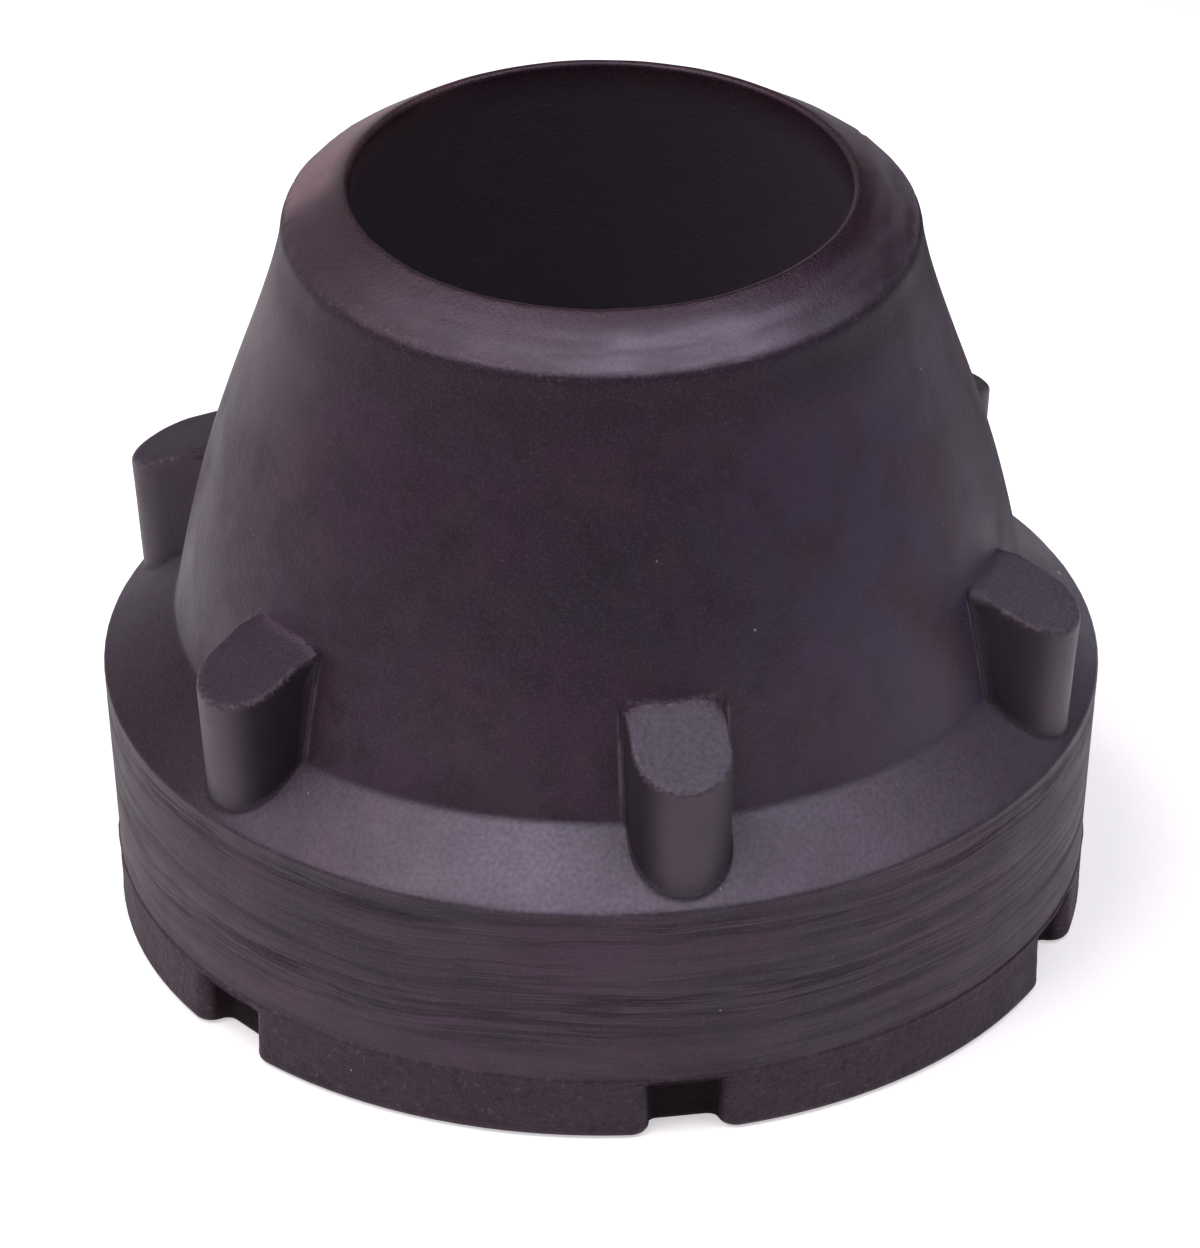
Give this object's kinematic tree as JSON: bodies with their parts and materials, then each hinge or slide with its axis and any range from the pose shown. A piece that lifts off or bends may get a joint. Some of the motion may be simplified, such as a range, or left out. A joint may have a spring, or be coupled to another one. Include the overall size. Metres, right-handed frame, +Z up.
{
  "type": "rubber cane tip",
  "caption": "Moulded rubber tip for a cane's foot: a tapered bell with a round socket on a wide base, with lugs around the bell and notches in the tread.",
  "frame": {"origin": "centre of the tread's flat underside", "axes": "+Z up along the socket's axis and out of its mouth, one lug faces -Y"},
  "size_m": [0.0506, 0.0508, 0.0407],
  "materials": {
    "rubber": "matte"
  },
  "bodies": {
    "root": {"rubber_tip": "rubber"}
  },
  "joints": []
}
